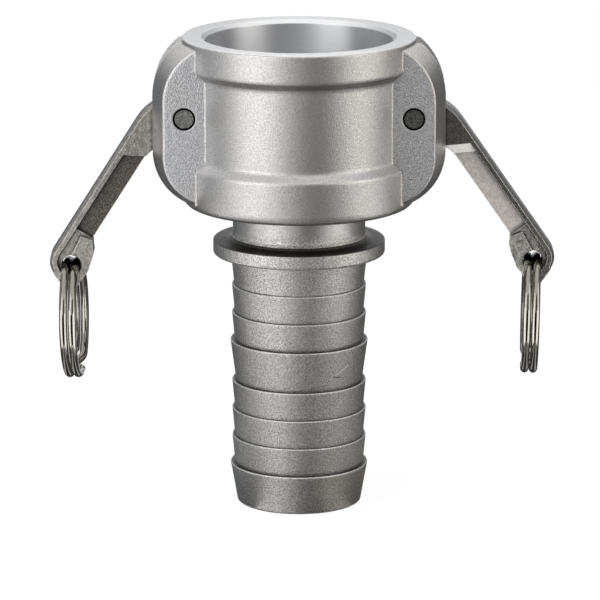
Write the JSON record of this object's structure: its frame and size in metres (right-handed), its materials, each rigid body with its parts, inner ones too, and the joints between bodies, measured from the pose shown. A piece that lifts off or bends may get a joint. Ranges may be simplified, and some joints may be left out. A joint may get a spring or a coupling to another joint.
{
  "type": "hose shank coupler",
  "caption": "Cam lever socket coupler on a barbed hose shank; swinging levers with pull rings clamp a grooved adapter against the gasket in the socket.",
  "frame": {"origin": "centre of the shank's end face", "axes": "+Z along the shank towards the socket's mouth, +X towards the right lever, +Y away from the viewer"},
  "size_m": [0.1461, 0.0672, 0.1376],
  "materials": {
    "body": "fine blasted casting with a machined mouth and bore",
    "gasket": "matt black rubber",
    "lever": "blasted cast steel",
    "pin": "sheared ends",
    "ring": "polished wire"
  },
  "bodies": {
    "body": {"body": "body", "gasket": "gasket", "pin_left": "pin", "pin_right": "pin"},
    "lever_left": {"lever_left": "lever"},
    "lever_right": {"lever_right": "lever"},
    "ring_left": {"ring_left": "ring"},
    "ring_right": {"ring_right": "ring"}
  },
  "joints": [
    {"name": "lever_left_hinge", "type": "hinge", "parent": "body", "child": "lever_left", "pos_m": [-0.0327, 0, 0.1164], "axis": [0, 1, 0], "range_deg": [-32.4, 77.6]},
    {"name": "lever_right_hinge", "type": "hinge", "parent": "body", "child": "lever_right", "pos_m": [0.0327, 0, 0.1164], "axis": [0, -1, 0], "range_deg": [-34.7, 75.3]},
    {"name": "ring_left_swing", "type": "hinge", "parent": "lever_left", "child": "ring_left", "pos_m": [-0.06583, 0, 0.0711], "axis": [0, 1, 0], "range_deg": [-77.6, 32.4]},
    {"name": "ring_right_swing", "type": "hinge", "parent": "lever_right", "child": "ring_right", "pos_m": [0.06762, 0, 0.07247], "axis": [0, -1, 0], "range_deg": [-75.3, 34.7]}
  ],
  "couplings": [
    {"joint": "ring_left_swing", "follows": "lever_left_hinge", "ratio": -1},
    {"joint": "ring_right_swing", "follows": "lever_right_hinge", "ratio": -1}
  ]
}
